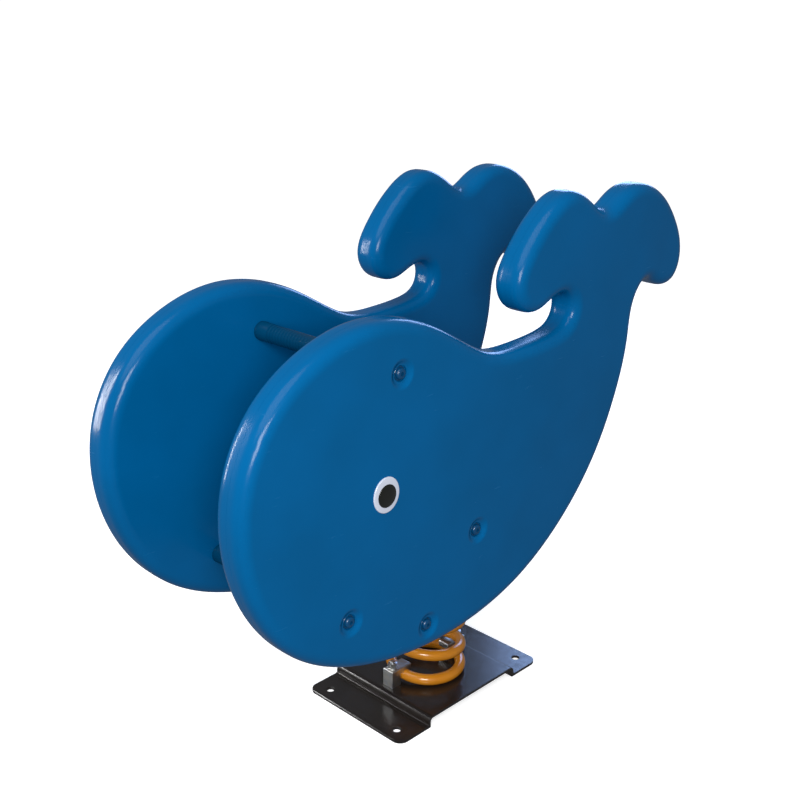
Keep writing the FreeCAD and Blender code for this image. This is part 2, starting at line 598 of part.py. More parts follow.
def main():
    os.makedirs("parts", exist_ok=True)
    save("base_plate", [base_plate()])
    for upper, where in ((False, "lower"), (True, "upper")):
        sets = [coil_clamp_set(side, upper) for side in (1, -1)]
        for i, name in enumerate(["coil_clamps", "clamp_bolts", "clamp_washers", "clamp_nuts"]):
            save(where + "_" + name, [pieces[i] for pieces in sets])
    save("spring_bottom_coils", [bottom_stretch(SPRING_CUTS[0] - CUT_GAP_TURNS / 2)])
    starts = [cut + CUT_GAP_TURNS / 2 for cut in SPRING_CUTS]
    ends = [cut - CUT_GAP_TURNS / 2 for cut in SPRING_CUTS[1:]] + [SPRING_TURNS]
    for name, start, end in zip(["lower", "upper", "top"], starts, ends):
        save("spring_" + name + "_coils", [spring_stretch(start, end, WIRE_RADIUS)])
    save("spring_head_plate", [spring_head_plate()])
    save("frame_cross_tubes", [square_tube_y(-CROSS_TUBE_AT), square_tube_y(CROSS_TUBE_AT)])
    save("frame_bolts", frame_bolts())
    save("frame_washers", frame_washers())
    save("frame_nuts", frame_nuts())
    save("seat_posts", seat_posts())
    save("seat_plate", [seat_plate()])
    save("seat", [seat()])
    save("seat_bolts", seat_bolts())
    save("seat_washers", seat_washers())
    save_left_and_right("frame_plate", [frame_plate()])
    save_left_and_right("frame_plate_nuts", panel_nuts())
    save_left_and_right("whale_panel", [whale_panel()])
    save_left_and_right("eye_white", [eye_white()])
    save_left_and_right("eye_pupil", [eye_pupil()])
    save_left_and_right("panel_bolts", panel_bolts())
    save_left_and_right("panel_washers", panel_washers())
    save_left_and_right("panel_spacers", panel_spacers())
    for name, at in (("handlebar", HANDLEBAR_AT), ("footrest", FOOTREST_AT)):
        save(name + "_tube", bar_tube(at))
        save(name + "_sleeve", bar_sleeve(at))
        save(name + "_threaded_ends", bar_inserts(at))


main()
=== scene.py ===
import json
import math

import bpy
import bmesh
from mathutils import Matrix, Vector


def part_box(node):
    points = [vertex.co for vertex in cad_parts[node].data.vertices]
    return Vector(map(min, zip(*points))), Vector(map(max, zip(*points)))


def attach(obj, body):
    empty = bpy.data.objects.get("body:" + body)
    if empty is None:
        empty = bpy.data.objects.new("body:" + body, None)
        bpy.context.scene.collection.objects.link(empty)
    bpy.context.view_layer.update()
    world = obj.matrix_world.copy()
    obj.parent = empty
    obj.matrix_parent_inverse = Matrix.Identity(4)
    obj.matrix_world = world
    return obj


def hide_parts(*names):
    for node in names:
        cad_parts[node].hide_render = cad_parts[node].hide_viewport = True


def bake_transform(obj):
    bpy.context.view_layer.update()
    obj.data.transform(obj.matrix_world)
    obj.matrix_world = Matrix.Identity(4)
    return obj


# Spring rider with two whale-shaped panels. Metres, +X the way the rider faces, +Y the rider's left, +Z up.

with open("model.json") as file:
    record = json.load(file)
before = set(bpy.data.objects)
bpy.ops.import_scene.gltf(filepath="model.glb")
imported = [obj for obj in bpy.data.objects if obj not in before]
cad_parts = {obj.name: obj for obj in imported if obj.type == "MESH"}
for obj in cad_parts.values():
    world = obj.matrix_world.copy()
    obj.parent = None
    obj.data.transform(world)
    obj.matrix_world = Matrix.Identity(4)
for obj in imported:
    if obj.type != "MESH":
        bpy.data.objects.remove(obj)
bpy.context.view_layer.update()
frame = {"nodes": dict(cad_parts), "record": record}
cad_nodes = frame["nodes"]

MM = 0.001


def deselect():
    bpy.ops.object.select_all(action="DESELECT")


deselect()

# ---------------------------------------------------------------- sizes, from the frame and the design

# Whale panels
PANEL_LOW, PANEL_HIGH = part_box("left_whale_panel")
INNER_FACE = PANEL_LOW.y
OUTER_FACE = PANEL_HIGH.y
MIDDLE_OF_PANEL = (INNER_FACE + OUTER_FACE) / 2
RIM_ROUNDING = 22 * MM
OUTLINE_POINTS = 480
PARTING_LINE_WIDTH = 1.6 * MM
PARTING_LINE_HEIGHT = 0.15 * MM
DISH_RADIUS = 24 * MM            # shallow dish round each bolt head
DISH_DEPTH = 5 * MM
COUNTERBORE_RADIUS = 12.5 * MM
COUNTERBORE_DEPTH = 8 * MM
EYE_ROUNDING = 1.2 * MM

# M10 bolts, nuts and washers, and the M8 bolts of the seat
BOLT_RADIUS = 5 * MM
NUT_CORNERS = 9.2 * MM           # radius over the corners of the hexagon
NUT_HEIGHT = 8 * MM
NUT_BORE = 4.6 * MM
HEAD_HEIGHT = 6.4 * MM
WASHER_BORE = 5.4 * MM
WASHER_RADIUS = 10 * MM
WASHER_THICKNESS = 2 * MM
BUTTON_RADIUS = 9 * MM
BUTTON_HEIGHT = 5.5 * MM
BUTTON_DOME = 4.5 * MM
SOCKET_CORNERS = 3.4 * MM
PANEL_WASHER_BORE = 5.2 * MM
PANEL_WASHER_RADIUS = 11 * MM
PANEL_BOLT_REACH = 20 * MM       # how far a panel bolt passes the inner face
SEAT_BOLT_RADIUS = 4 * MM
SEAT_HEAD_CORNERS = 7.4 * MM
SEAT_HEAD_HEIGHT = 5.3 * MM
SEAT_WASHER_BORE = 4.4 * MM
SEAT_WASHER_RADIUS = 8 * MM

# Base plate
PLATE_THICKNESS = 5 * MM
PLATE_RAISED_HALF = 115 * MM     # half the length of the raised middle
BEND_RADIUS = 11 * MM
CREASE_RADIUS = 4 * MM
UNDER_CREASE_RADIUS = 2 * MM
PLATE_CORNER_RADIUS = 18 * MM
ANCHOR_AT = (161 * MM, 86 * MM)
ANCHOR_HOLE_RADIUS = 7 * MM
CLAMP_BOLT_AT = 86 * MM          # from the spring's axis

# Hand bar and foot bar
SLEEVE_BORE = 12.7 * MM
SLEEVE_ROUNDING = 2 * MM
GRIP_RINGS = 28

# Seat in side view: corners as (x, z, corner radius) in millimetres
SEAT_CORNERS = [(-186, 435, 24), (130, 435, 20), (130, 484, 22), (10, 470, 400), (-90, 470, 110),
                (-142, 522, 36), (-196, 522, 20)]
SEAT_EDGE_ROUNDING = 11 * MM

# Steel frame
CROSS_TUBE_X = 50 * MM
CROSS_TUBE_HALF = 20 * MM
POST_Y = 45 * MM
POST_HALF = 15 * MM
WELD_LENGTH = 32 * MM
WELD_RADIUS = 2.4 * MM

# Spring
WIRE_RADIUS = 10 * MM
COIL_RADIUS = 65 * MM
SPRING_TURNS = 5 + 5 / 6
SPRING_RISE = 250 * MM
FLAT_TURNS = 0.45                # each end lies flat this far, then eases into the full pitch
EASED_TURNS = 0.65
SPRING_START_DEG = 240.0         # where the wire's lower tip lies
SPRING_CUTS = [0, 2.3, 3.5, 4.5, SPRING_TURNS]
CLAMPED_TURNS = 0.9              # end coils that don't flex
STEPS_PER_TURN = 64
LOW_COIL_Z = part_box("spring_bottom_coils")[0].z + WIRE_RADIUS

ALONG_X = Matrix.Rotation(math.pi / 2, 4, "Y")
ALONG_Y = Matrix.Rotation(-math.pi / 2, 4, "X")
UPSIDE_DOWN = Matrix.Rotation(math.pi, 4, "X")


# ---------------------------------------------------------------- materials

def linear(hex_colour):
    """sRGB hex to the linear colour that a shader takes."""
    channels = [int(hex_colour[i:i + 2], 16) / 255 for i in (1, 3, 5)]
    return [c / 12.92 if c <= 0.04045 else ((c + 0.055) / 1.055) ** 2.4 for c in channels] + [1.0]


def add_node(tree, kind, inputs=None, output=0, **settings):
    """Adds a shader node and returns one of its outputs. Settings are its properties, inputs its values or
    the sockets linked to it."""
    made = tree.nodes.new(kind)
    for name, value in settings.items():
        setattr(made, name, value)
    for name, value in (inputs or {}).items():
        if isinstance(value, bpy.types.NodeSocket):
            tree.links.new(value, made.inputs[name])
        else:
            made.inputs[name].default_value = value
    return made.outputs[output]


def start_material(name, **shader_values):
    material = bpy.data.materials.new(name)
    material.use_nodes = True
    tree = material.node_tree
    shader = tree.nodes["Principled BSDF"]
    for socket, value in shader_values.items():
        shader.inputs[socket.replace("_", " ")].default_value = value
    place = add_node(tree, "ShaderNodeTexCoord", output="Object")
    return material, tree, shader, place


def finish_material(tree, shader, colour, roughness, normal):
    tree.links.new(colour, shader.inputs["Base Color"])
    tree.links.new(roughness, shader.inputs["Roughness"])
    tree.links.new(normal, shader.inputs["Normal"])


def patches(tree, place, size, detail, edges, values, breakup=0.5):
    """Soft patches about size metres across: where the noise runs between edges, the result runs
    between values."""
    drift = add_node(tree, "ShaderNodeTexNoise",
                     {"Vector": place, "Scale": 1 / size, "Detail": detail, "Roughness": breakup})
    return add_node(tree, "ShaderNodeMapRange",
                    {"Value": drift, "From Min": edges[0], "From Max": edges[1],
                     "To Min": values[0], "To Max": values[1]})


def clouded_colour(tree, place, size, detail, colour, deep_colour, edges=(0.3, 0.7)):
    """Pigment that drifts between two close colours, in clouds about size metres across."""
    clouds = patches(tree, place, size, detail, edges, (0, 1))
    return add_node(tree, "ShaderNodeMix", {0: clouds, 6: linear(colour), 7: linear(deep_colour)},
                    output=2, data_type="RGBA")


def relief(tree, place, size, detail, height, strength, under=None):
    """Bumps about size metres across and height metres tall, on top of the relief under them."""
    drift = add_node(tree, "ShaderNodeTexNoise", {"Vector": place, "Scale": 1 / size, "Detail": detail})
    inputs = {"Height": drift, "Distance": height, "Strength": strength}
    if under:
        inputs["Normal"] = under
    return add_node(tree, "ShaderNodeBump", inputs)


def rotomoulded_polyethylene(name, colour, deep_colour, scuff_colour):
    """Rotationally moulded polyethylene: waxy satin skin, faint clouds in the colour, very slight waves
    where the wall shrank in the mould, a fine orange peel, and dull scuffs from use."""
    material, tree, shader, place = start_material(name, IOR=1.5, Specular_IOR_Level=0.14)
    pigment = clouded_colour(tree, place, 120 * MM, 3, colour, deep_colour)
    streaks = add_node(tree, "ShaderNodeMapping",
                       {"Vector": place, "Rotation": (0, 0.6, 0), "Scale": (1, 1, 7)})
    scuffs = patches(tree, streaks, 60 * MM, 6, (0.65, 0.76), (0, 0.2), breakup=0.65)
    body = add_node(tree, "ShaderNodeMix", {0: scuffs, 6: pigment, 7: linear(scuff_colour)},
                    output=2, data_type="RGBA")
    satin = patches(tree, place, 25 * MM, 4, (0.3, 0.7), (0.17, 0.23))
    dulled = add_node(tree, "ShaderNodeMath", {0: satin, 1: scuffs}, operation="ADD")
    waves = relief(tree, place, 150 * MM, 1, 2.2 * MM, 1.0)
    peel = relief(tree, place, 2.5 * MM, 2, 0.05 * MM, 0.7, waves)
    finish_material(tree, shader, body, dulled, peel)
    return material


def stippled_polyethylene(name, colour, deep_colour):
    """Moulded polyethylene with a stippled non-slip grain of about 3 mm, slightly polished on its tops."""
    material, tree, shader, place = start_material(name, IOR=1.52)
    body = clouded_colour(tree, place, 60 * MM, 3, colour, deep_colour)
    grain = add_node(tree, "ShaderNodeTexVoronoi", {"Vector": place, "Scale": 1 / (3 * MM)})
    satin = add_node(tree, "ShaderNodeMapRange",
                     {"Value": grain, "From Min": 0.1, "From Max": 0.8, "To Min": 0.32, "To Max": 0.5})
    stipple = add_node(tree, "ShaderNodeBump", {"Height": grain, "Distance": 0.25 * MM, "Strength": 0.6})
    finish_material(tree, shader, body, satin, stipple)
    return material


def powder_coat(name, colour, deep_colour, peel_size, roughness, dust_colour=None):
    """Powder coat on steel: even colour, a glossy skin with orange peel, and dust in a few places."""
    material, tree, shader, place = start_material(name, IOR=1.5)
    body = clouded_colour(tree, place, 40 * MM, 4, colour, deep_colour)
    if dust_colour:
        dust = patches(tree, place, 9 * MM, 8, (0.6, 0.75), (0, 0.5), breakup=0.7)
        body = add_node(tree, "ShaderNodeMix", {0: dust, 6: body, 7: linear(dust_colour)},
                        output=2, data_type="RGBA")
    shine = patches(tree, place, 12 * MM, 4, (0.3, 0.7), (roughness, roughness + 0.1))
    peel = relief(tree, place, peel_size, 2, 0.05 * MM, 0.5)
    finish_material(tree, shader, body, shine, peel)
    return material


def plated_steel(name, colour, second_colour, roughness):
    """Plated rolled steel: metal with a faint shift of the passivation's colour and a fine rolled grain."""
    material, tree, shader, place = start_material(name, Metallic=1.0)
    body = clouded_colour(tree, place, 9 * MM, 2, colour, second_colour, (0.35, 0.65))
    shine = patches(tree, place, 5 * MM, 4, (0.3, 0.7), (roughness, roughness + 0.12))
    grain = relief(tree, place, 0.6 * MM, 2, 0.008 * MM, 0.5)
    finish_material(tree, shader, body, shine, grain)
    return material


def polished_plastic(name, colour, deep_colour):
    """Injection-moulded ABS: smooth and glossy, with fine hairline marks from cleaning."""
    material, tree, shader, place = start_material(name, IOR=1.54, Coat_Weight=0.3, Coat_Roughness=0.08)
    body = clouded_colour(tree, place, 15 * MM, 3, colour, deep_colour)
    shine = patches(tree, place, 2 * MM, 5, (0.3, 0.7), (0.16, 0.26))
    hairlines = add_node(tree, "ShaderNodeMapping", {"Vector": place, "Scale": (1, 1, 12)})
    marks = relief(tree, hairlines, 4 * MM, 4, 0.02 * MM, 0.4)
    finish_material(tree, shader, body, shine, marks)
    return material


BLUE_PLASTIC = rotomoulded_polyethylene("rotomoulded_polyethylene_blue", "#00588E", "#005487", "#1D6EA3")
BAR_PLASTIC = rotomoulded_polyethylene("extruded_polyethylene_dark_blue", "#003A5C", "#003757", "#0F4A69")
SEAT_PLASTIC = stippled_polyethylene("stippled_polyethylene_seat", "#003F63", "#003C5E")
SPRING_PAINT = powder_coat("powder_coat_amber_gloss", "#C77F1C", "#BF7718", 2.2 * MM, 0.16)
PLATE_PAINT = powder_coat("powder_coat_dark_brown", "#201B18", "#1B1715", 1.4 * MM, 0.16, "#2E2824")
FRAME_PAINT = powder_coat("powder_coat_black_satin", "#1B1C1F", "#17181A", 1.6 * MM, 0.36, "#333334")
ZINC_STEEL = plated_steel("zinc_plated_steel", "#BFBEB9", "#B5B9BE", 0.3)
BOLT_PAINT = powder_coat("powder_coat_dark_blue_bolts", "#00406A", "#003A60", 1.5 * MM, 0.22)
EYE_WHITE = polished_plastic("moulded_abs_white", "#CDD2E0", "#C6CCDB")
EYE_BLACK = polished_plastic("moulded_abs_black", "#101109", "#0C0D08")

SLOT_MATERIALS = {
    "blue_plastic": BLUE_PLASTIC,
    "dark_blue_plastic": BAR_PLASTIC,
    "eye_white_plastic": EYE_WHITE,
    "eye_black_plastic": EYE_BLACK,
    "spring_paint": SPRING_PAINT,
    "plate_paint": PLATE_PAINT,
    "frame_paint": FRAME_PAINT,
    "zinc_plate": ZINC_STEEL,
    "bolt_paint": BOLT_PAINT,
}

for subpart in frame["record"]["subparts"]:
    mesh = cad_nodes[subpart["node"]].data
    mesh.materials.clear()
    mesh.materials.append(SLOT_MATERIALS[subpart["material_slot"]])


# ---------------------------------------------------------------- modelling helpers

def activate(piece):
    """Makes the piece the only selected and the active object."""
    deselect()
    bpy.context.view_layer.objects.active = piece
    piece.select_set(True)


def edit(piece, mode="EDGE"):
    """Opens one piece in edit mode with nothing selected."""
    activate(piece)
    bpy.ops.object.mode_set(mode="EDIT")
    bpy.ops.mesh.select_mode(type=mode)
    bpy.ops.mesh.select_all(action="DESELECT")
    return bmesh.from_edit_mesh(piece.data)


def leave_edit():
    bpy.ops.object.mode_set(mode="OBJECT")


def pick(mesh, elements, wanted):
    """Selects the edges or faces that wanted accepts."""
    for element in elements:
        element.select_set(wanted(element))
    mesh.select_flush_mode()


def apply_modifier(piece, kind, **settings):
    modifier = piece.modifiers.new("step", kind)
    for name, value in settings.items():
        setattr(modifier, name, value)
    activate(piece)
    bpy.ops.object.modifier_apply(modifier=modifier.name)


def finish_piece(piece, name, body, material, nodes=(), angle=35):
    """Puts the piece's place in its mesh, names and shades it, ties it to its body and hides the CAD nodes
    it stands for.
    """
    activate(piece)
    bpy.ops.object.transform_apply(location=True, rotation=True, scale=True)
    bpy.ops.object.shade_smooth_by_angle(angle=math.radians(angle))
    piece.name = name
    piece.data.name = name
    piece.data.materials.clear()
    piece.data.materials.append(material)
    if body:
        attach(piece, body)
    if nodes:
        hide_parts(*nodes)
    return piece


def merge_points(threshold=0.01 * MM):
    """Merges the points of the open mesh that lie closer than threshold, and leaves all selected."""
    bpy.ops.mesh.select_all(action="SELECT")
    bpy.ops.mesh.remove_doubles(threshold=threshold)
    bpy.ops.mesh.select_all(action="SELECT")


def outward_normals(piece):
    edit(piece, "VERT")
    merge_points()
    bpy.ops.mesh.delete_loose()
    bpy.ops.mesh.select_all(action="SELECT")
    bpy.ops.mesh.normals_make_consistent(inside=False)
    leave_edit()


def mirrored_copy(piece):
    """The same piece on the rider's right side, with its own mesh."""
    activate(piece)
    bpy.ops.object.duplicate()
    copy = bpy.context.active_object
    copy.data.transform(Matrix.Scale(-1, 4, Vector((0, 1, 0))))
    copy.data.flip_normals()
    return copy


def arc(centre_x, centre_z, radius, start_deg, end_deg, steps):
    """Points of an arc in a side or profile drawing."""
    turns = [math.radians(start_deg + (end_deg - start_deg) * i / steps) for i in range(steps + 1)]
    return [(centre_x + radius * math.cos(turn), centre_z + radius * math.sin(turn)) for turn in turns]


def lathe(profile, steps=48):
    """Closed outline of (radius, height) points turned round the Z axis."""
    deselect()
    bpy.ops.mesh.primitive_circle_add(vertices=len(profile), radius=1 * MM)
    piece = bpy.context.active_object
    for vertex, (radius, height) in zip(piece.data.vertices, profile):
        vertex.co = (radius, 0, height)
    edit(piece)
    bpy.ops.mesh.select_all(action="SELECT")
    bpy.ops.mesh.spin(steps=steps, angle=2 * math.pi, center=(0, 0, 0), axis=(0, 0, 1))
    leave_edit()
    outward_normals(piece)
    return piece


def extruded(outline, step):
    """Closed flat outline of 3-D points drawn out by a step."""
    deselect()
    bpy.ops.mesh.primitive_circle_add(vertices=len(outline), radius=1, fill_type="NGON")
    piece = bpy.context.active_object
    for vertex, point in zip(piece.data.vertices, outline):
        vertex.co = point
    edit(piece, "FACE")
    bpy.ops.mesh.select_all(action="SELECT")
    bpy.ops.mesh.extrude_region_move(TRANSFORM_OT_translate={"value": step})
    leave_edit()
    outward_normals(piece)
    return piece


def extruded_along_y(outline, y0, y1):
    """Closed (x, z) outline drawn out along Y."""
    return extruded([(x, y0, z) for x, z in outline], (0, y1 - y0, 0))


def runs_across(edge):
    """True for an edge of such a piece that lies in one of its two faces."""
    return abs(edge.verts[0].co.y - edge.verts[1].co.y) < 0.1 * MM


def cut_by(piece, cutter, operation="DIFFERENCE"):
    apply_modifier(piece, "BOOLEAN", operation=operation, object=cutter, solver="EXACT")
    bpy.data.objects.remove(cutter)


def hexagonal(blank, corner_radius, low, high):
    """A turned blank cut down to six flats, so its chamfer meets them in curves."""
    deselect()
    bpy.ops.mesh.primitive_cylinder_add(vertices=6, radius=corner_radius, depth=high - low,
                                        location=(0, 0, (low + high) / 2))
    cut_by(blank, bpy.context.active_object, "INTERSECT")
    return blank


def joined(pieces):
    deselect()
    for piece in pieces:
        piece.select_set(True)
    bpy.context.view_layer.objects.active = pieces[0]
    if len(pieces) > 1:
        bpy.ops.object.join()
    return pieces[0]


def placed_copies(piece, placings):
    """One object made of the piece repeated at each placing."""
    copies = []
    for placing in placings:
        activate(piece)
        bpy.ops.object.duplicate()
        copy = bpy.context.active_object
        copy.data.transform(placing)
        copies.append(copy)
    bpy.data.objects.remove(piece)
    return joined(copies)


def threaded(radius, low, high, pitch=1.5 * MM):
    """Profile of a threaded length from high down to low, with a chamfered tip at low."""
    depth = 0.6 * pitch
    points = []
    crests = int((high - low - 2 * depth) / pitch)
    for i in range(crests):
        z = high - i * pitch
        points += [(radius, z), (radius, z - 0.25 * pitch), (radius - depth, z - 0.5 * pitch),
                   (radius - depth, z - 0.75 * pitch)]
    return points + [(radius, low + depth), (radius - depth, low), (0, low)]


def stations(node):
    """Middle, lowest and highest point of each separate solid in a CAD node, sorted by place."""
    source = bpy.data.objects.new("stations", cad_nodes[node].data.copy())
    bpy.context.scene.collection.objects.link(source)
    edit(source, "VERT")
    merge_points()
    leave_edit()
    mesh = bmesh.new()
    mesh.from_mesh(source.data)
    bpy.data.objects.remove(source)
    unseen, found = set(mesh.verts), []
    while unseen:
        island, queue = [], [unseen.pop()]
        while queue:
            vertex = queue.pop()
            island.append(vertex.co.copy())
            for edge in vertex.link_edges:
                other = edge.other_vert(vertex)
                if other in unseen:
                    unseen.remove(other)
                    queue.append(other)
        low = Vector([min(co[axis] for co in island) for axis in range(3)])
        high = Vector([max(co[axis] for co in island) for axis in range(3)])
        found.append(((low + high) / 2, low, high))
    mesh.free()
    return sorted(found, key=lambda station: tuple(station[0]))


# ---------------------------------------------------------------- whale panels

def panel_outline():
    """The CAD panel cut on its middle plane: its outer outline as evenly spaced (x, z) points."""
    source = cad_nodes["left_whale_panel"]
    slice_piece = bpy.data.objects.new("slice", source.data.copy())
    bpy.context.scene.collection.objects.link(slice_piece)
    edit(slice_piece, "VERT")
    merge_points()
    bpy.ops.mesh.bisect(plane_co=(0, MIDDLE_OF_PANEL, 0), plane_no=(0, 1, 0),
                        clear_inner=True, clear_outer=True)
    leave_edit()
    mesh = bmesh.new()
    mesh.from_mesh(slice_piece.data)
    start = max(mesh.verts, key=lambda v: v.co.x)
    loop, edge = [start], start.link_edges[0]
    while True:
        following = edge.other_vert(loop[-1])
        if following == start:
            break
        loop.append(following)
        edge = [e for e in following.link_edges if e != edge][0]
    points = [Vector((v.co.x, v.co.z)) for v in loop]
    mesh.free()
    bpy.data.objects.remove(slice_piece)
    return evenly_spaced(points, OUTLINE_POINTS)


def evenly_spaced(points, count):
    """Points at equal steps round a closed outline, with the corners between its chords eased."""
    closed = points + points[:1]
    lengths = [0.0]
    for a, b in zip(closed, closed[1:]):
        lengths.append(lengths[-1] + (b - a).length)
    spaced, at = [], 0
    for i in range(count):
        target = lengths[-1] * i / count
        while lengths[at + 1] < target:
            at += 1
        share = (target - lengths[at]) / (lengths[at + 1] - lengths[at])
        spaced.append(closed[at].lerp(closed[at + 1], share))
    for _ in range(3):
        spaced = [(spaced[i - 1] + 2 * spaced[i] + spaced[(i + 1) % count]) / 4 for i in range(count)]
    return spaced


def bolt_dish_cutter(x, z):
    """Turned shape of one bolt's dish: a counterbore, then a bowl that flows out into the face."""
    profile = [(0, -COUNTERBORE_DEPTH), (COUNTERBORE_RADIUS, -COUNTERBORE_DEPTH)]
    bowl_steps, edge_bite = 10, 0.02 * MM
    for i in range(bowl_steps + 1):
        share = i / bowl_steps
        radius = COUNTERBORE_RADIUS + (DISH_RADIUS - COUNTERBORE_RADIUS) * share
        profile.append((radius, -DISH_DEPTH * (0.5 + 0.5 * math.cos(math.pi * share)) - edge_bite))
    profile += [(DISH_RADIUS + 0.2 * MM, 1 * MM), (0, 1 * MM)]
    cutter = lathe(profile, 64)
    cutter.data.transform(Matrix.Translation((x, OUTER_FACE, z)) @ ALONG_Y)
    return cutter


PANEL_BOLTS = [(middle.x, middle.z) for middle, low, high in stations("left_panel_washers")]


def whale_panel():
    """Left panel: the outline as a face, drawn out to its thickness, rims rounded, a parting line round
    the rim, and a dish at each bolt."""
    panel = extruded_along_y(panel_outline(), INNER_FACE, OUTER_FACE)
    mesh = edit(panel)
    pick(mesh, mesh.edges, runs_across)
    bpy.ops.mesh.bevel(offset=RIM_ROUNDING, segments=9, profile=0.55, affect="EDGES", clamp_overlap=False)
    half_line = PARTING_LINE_WIDTH / 2
    for line_y in (MIDDLE_OF_PANEL - half_line, MIDDLE_OF_PANEL + half_line):
        bpy.ops.mesh.select_all(action="SELECT")
        bpy.ops.mesh.bisect(plane_co=(0, line_y, 0), plane_no=(0, 1, 0))
    leave_edit()
    mesh = edit(panel, "FACE")
    pick(mesh, mesh.faces, lambda f: abs(f.calc_center_median().y - MIDDLE_OF_PANEL) < half_line)
    bpy.ops.mesh.extrude_region_shrink_fatten(TRANSFORM_OT_shrink_fatten={"value": PARTING_LINE_HEIGHT})
    leave_edit()
    for x, z in PANEL_BOLTS:
        cut_by(panel, bolt_dish_cutter(x, z))
    apply_modifier(panel, "TRIANGULATE")
    return panel


left_panel = whale_panel()
right_panel = mirrored_copy(left_panel)
for side, panel in (("left", left_panel), ("right", right_panel)):
    finish_piece(panel, side + "_panel_shell", "rider", BLUE_PLASTIC,
                 [side + "_whale_panel"])
    apply_modifier(panel, "WEIGHTED_NORMAL", keep_sharp=True)


# ---------------------------------------------------------------- eyes

def eye_disc(cad_node, crown):
    """Oval disc in the CAD one's box: its outer rim rounded and its face domed by crown."""
    low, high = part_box(cad_node)
    high.y -= crown
    centre, size = (low + high) / 2, high - low
    deselect()
    bpy.ops.mesh.primitive_cylinder_add(vertices=96, radius=0.5, depth=1, end_fill_type="NGON")
    disc = bpy.context.active_object
    turn = Matrix.Rotation(math.pi / 2, 4, "X")
    disc.data.transform(Matrix.Translation(centre) @ Matrix.Diagonal((size.x, size.y, size.z, 1)) @ turn)
    mesh = edit(disc)
    pick(mesh, mesh.edges, lambda e: all(v.co.y > high.y - 0.01 * MM for v in e.verts))
    bpy.ops.mesh.bevel(offset=EYE_ROUNDING, segments=5, profile=0.5, affect="EDGES")
    leave_edit()
    mesh = edit(disc, "FACE")
    pick(mesh, mesh.faces, lambda f: f.normal.y > 0.99 and len(f.verts) > 10)
    shares = (1.0, 0.7, 0.4, 0.15)
    for share in shares:
        bpy.ops.mesh.inset(thickness=size.x / 12, depth=crown * share / sum(shares))
    leave_edit()
    return disc


for part, material, slot_name, crown in (("eye_white", EYE_WHITE, "eye_white_plastic", 0.5 * MM),
                                         ("eye_pupil", EYE_BLACK, "eye_black_plastic", 1.4 * MM)):
    left_disc = eye_disc("left_" + part, crown)
    right_disc = mirrored_copy(left_disc)
    for side, disc in (("left", left_disc), ("right", right_disc)):
        finish_piece(disc, side + "_" + part + "_disc", "rider", material, [side + "_" + part])


# ---------------------------------------------------------------- spring

def spring_zones():
    """(first turn, last turn, pitch): flat ends, three steps of easing, and the full pitch between."""
    pitch = SPRING_RISE / (SPRING_TURNS - FLAT_TURNS - EASED_TURNS)
    ease = (EASED_TURNS - FLAT_TURNS) / 3
    turns = [0] + [FLAT_TURNS + ease * i for i in range(4)]
    turns += [SPRING_TURNS - turn for turn in reversed(turns)]
    shares = [0, 1 / 6, 1 / 2, 5 / 6, 1, 5 / 6, 1 / 2, 1 / 6, 0]
    return [(first, last, pitch * share) for first, last, share in zip(turns, turns[1:], shares)]


def spring_height(turn):
    return sum(pitch * (min(turn, last) - first) for first, last, pitch in spring_zones() if turn > first)


def spring_stretch(turn0, turn1):
    """Wire circle screwed along the coil, zone by zone, then joined and capped."""
    runs = []
    for first, last, pitch in spring_zones():
        start, end = max(first, turn0), min(last, turn1)
        if end <= start:
            continue
        deselect()
        bpy.ops.mesh.primitive_circle_add(vertices=32, radius=WIRE_RADIUS)
        run = bpy.context.active_object
        angle = math.radians(SPRING_START_DEG - 360 * start)
        stand = Matrix.Rotation(math.pi / 2, 4, "X")
        out = Matrix.Translation((COIL_RADIUS, 0, LOW_COIL_Z + spring_height(start)))
        run.data.transform(Matrix.Rotation(angle, 4, "Z") @ out @ stand)
        steps = max(2, round(STEPS_PER_TURN * (end - start)))
        apply_modifier(run, "SCREW", angle=-2 * math.pi * (end - start), screw_offset=pitch * (end - start),
                       steps=steps, render_steps=steps, axis="Z")
        runs.append(run)
    stretch = joined(runs)
    edit(stretch, "VERT")
    merge_points(0.05 * MM)
    bpy.ops.mesh.select_all(action="DESELECT")
    bpy.ops.mesh.select_non_manifold()
    bpy.ops.mesh.edge_face_add()
    leave_edit()
    outward_normals(stretch)
    return stretch


SPRING_NAMES = ["bottom", "lower", "upper", "top"]
for i, stretch_name in enumerate(SPRING_NAMES):
    turn0, turn1 = SPRING_CUTS[i], SPRING_CUTS[i + 1]
    stretch = spring_stretch(turn0, turn1)
    finish_piece(stretch, "spring_" + stretch_name + "_wire", None, SPRING_PAINT,
                 ["spring_" + stretch_name + "_coils"], angle=60)
    low_z = LOW_COIL_Z + spring_height(max(turn0, CLAMPED_TURNS))
    high_z = LOW_COIL_Z + spring_height(min(turn1, SPRING_TURNS - CLAMPED_TURNS))
    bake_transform(stretch)


# ---------------------------------------------------------------- panel bolts and washers

HEAD_SEAT = OUTER_FACE - COUNTERBORE_DEPTH


